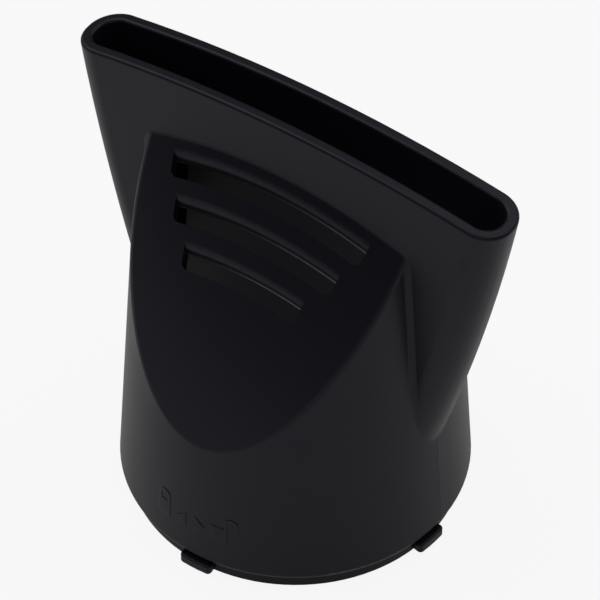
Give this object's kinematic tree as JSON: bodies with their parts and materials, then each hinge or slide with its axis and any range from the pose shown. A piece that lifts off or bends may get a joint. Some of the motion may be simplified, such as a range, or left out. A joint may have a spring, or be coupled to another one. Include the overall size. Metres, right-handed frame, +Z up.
{
  "type": "hair dryer concentrator nozzle",
  "caption": "Tapered round collar that flattens into a wide slot mouth, with curved cooling slots in a crowned panel and bayonet lugs on the ring that enters the dryer's barrel.",
  "frame": {"origin": "middle of the lower ring's underside, which is the bottom centre of the bounding box", "axes": "+Z up along the collar's axis towards the mouth, X along the mouth, front panel towards -Y"},
  "size_m": [0.0778, 0.0582, 0.0781],
  "materials": {
    "shell": "satin black, finely grained as moulded"
  },
  "bodies": {
    "root": {"nozzle_shell": "shell"}
  },
  "joints": []
}
